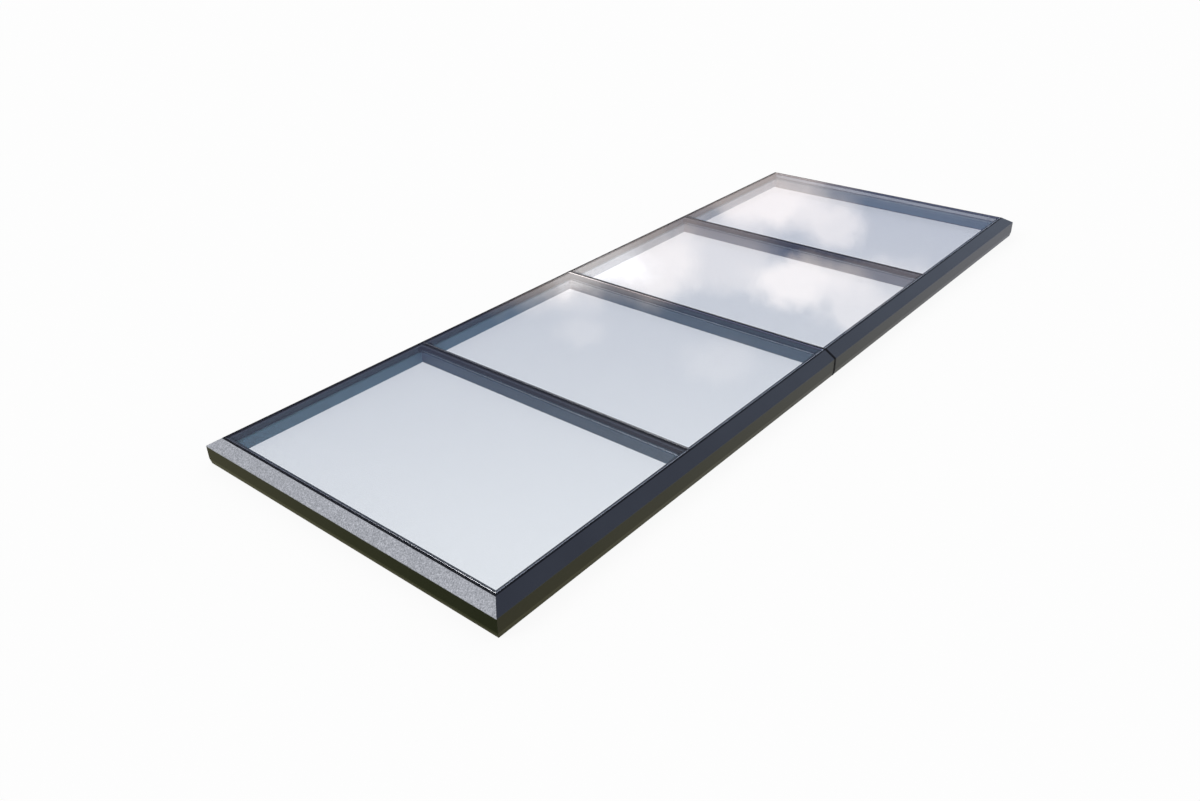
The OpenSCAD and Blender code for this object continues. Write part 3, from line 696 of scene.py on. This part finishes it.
# %% Swept pieces
def swept(name, rings, finish):
    """A closed mesh through rings of points, an array of shape rings x points x 3. Point j of
    ring i is joined to point j + 1 and to ring i + 1, and both ends get a flat face."""
    count, width, _ = rings.shape
    i, j = np.meshgrid(np.arange(count - 1), np.arange(width), indexing="ij")
    next_i, next_j = i + 1, (j + 1) % width
    quads = np.stack(
        [i * width + j, next_i * width + j, next_i * width + next_j, i * width + next_j], axis=-1)
    first, last = list(range(width)), list(range((count - 1) * width, count * width))
    faces = quads.reshape(-1, 4).tolist() + [first, last[::-1]]
    mesh = bpy.data.meshes.new(name)
    mesh.from_pydata(rings.reshape(-1, 3).tolist(), [], faces)
    shape = bmesh.new()
    shape.from_mesh(mesh)
    bmesh.ops.recalc_face_normals(shape, faces=shape.faces)
    shape.to_mesh(mesh)
    shape.free()
    mesh.materials.append(finish)
    piece = bpy.data.objects.new(name, mesh)
    bpy.context.scene.collection.objects.link(piece)
    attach(piece, "root")


print("swept pieces ready")

# %% Seal bead
BEAD_SIDE, BEAD_END = 2.4 * MM, 4.2 * MM
BEAD_BACK, BEAD_RISE = 1.5 * MM, 0.5 * MM
BEAD_SUNK, BEAD_THICK = 0.1 * MM, 0.9 * MM
BELOW_TOP = 0.02 * MM
CAP_DROP, CAP_WIDE = 31 * MM, 49 * MM

# Each strip has a name, the axis across it, the side that it lies on and how far it laps over.
BEADS = [
    ("right", 0, 1, BEAD_SIDE),
    ("left", 0, -1, BEAD_SIDE),
    ("rear", 1, 1, BEAD_END),
    ("front", 1, -1, BEAD_END),
]
_, seal_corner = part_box("rear_edge_seal")
edge = np.array([seal_corner.x, seal_corner.y])
span = np.linspace(0.0, 1.0, 9)
for name, axis, sign, over in BEADS:
    out = span * (over + BEAD_BACK) - BEAD_BACK
    slope_z = TOP_Z - CAP_DROP / CAP_WIDE * np.maximum(out, 0.0)
    arc_z = slope_z - BEAD_SUNK + 4 * span * (1 - span) * BEAD_RISE
    arc_z = np.minimum(arc_z, TOP_Z - BELOW_TOP)
    out = np.concatenate([out, out[::-1]])
    rings = np.empty((2, len(out), 3))
    rings[:, :, axis] = sign * (edge[axis] + out)
    rings[:, :, 1 - axis] = np.array([[-1], [1]]) * (edge[1 - axis] + out)
    rings[:, :, 2] = np.concatenate([arc_z, arc_z[::-1] - BEAD_THICK])
    swept("seal_bead_" + name, rings, finishes["weather_silicone"])
print("bead laps over by", round(BEAD_SIDE / MM, 1), "and", round(BEAD_END / MM, 1), "mm")

# %% [markdown]
# ## The trims on the bars
#
# The photograph shows one thin bright line along each bar and along the coupling beams, just under
# the glass. What makes it can't be told at that size. Here it is a slim oval trim of smooth metal,
# which lies against the edge of the glazing tape and catches the sky.

# %% Bar trims
TRIM_HIGH, TRIM_WIDE = 1.9 * MM, 2.0 * MM
TRIM_OUT, TRIM_UP = 1.0 * MM, 2.0 * MM
TRIM_DULL, TRIM_BRIGHT = (0.40, 0.43, 0.48), (0.54, 0.57, 0.62)
TRIM_STRETCH = (0.05, 1.0, 1.0)
material, paint = new_finish("bar_trim")
brushed = paint.noise(400.0, 3.0, 0.6, TRIM_STRETCH)
surface = paint.node(
    "ShaderNodeBsdfPrincipled", {},
    {"Base Color": paint.blend(brushed, TRIM_DULL, TRIM_BRIGHT), "Metallic": 1.0,
     "Roughness": brushed * 0.15 + 0.22, "Normal": paint.bump(brushed, 0.01 * MM)})
paint.finish(surface.outputs[0])
finishes["bar_trim"] = material

bar_near, bar_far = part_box("rear_glazing_bar")
ledge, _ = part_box("bed_tape_4")
round_it = np.linspace(0.0, 2 * math.pi, 24, endpoint=False)
bulge = np.cos(round_it) * TRIM_WIDE + TRIM_OUT
trim_z = ledge.z + TRIM_UP + np.sin(round_it) * TRIM_HIGH
tape_face = JOINT_HALF + RING
places = [(centre + side * tape_face, side) for centre in (-BAR_Y, 0.0, BAR_Y) for side in (-1, 1)]
for number, (face_y, side) in enumerate(places, 1):
    rings = np.empty((2, len(bulge), 3))
    rings[:, :, 0] = np.array([bar_near.x, bar_far.x])[:, None]
    rings[:, :, 1] = face_y + side * bulge
    rings[:, :, 2] = trim_z
    swept("bar_trim_%d" % number, rings, finishes["bar_trim"])
print("trims:", len(places))
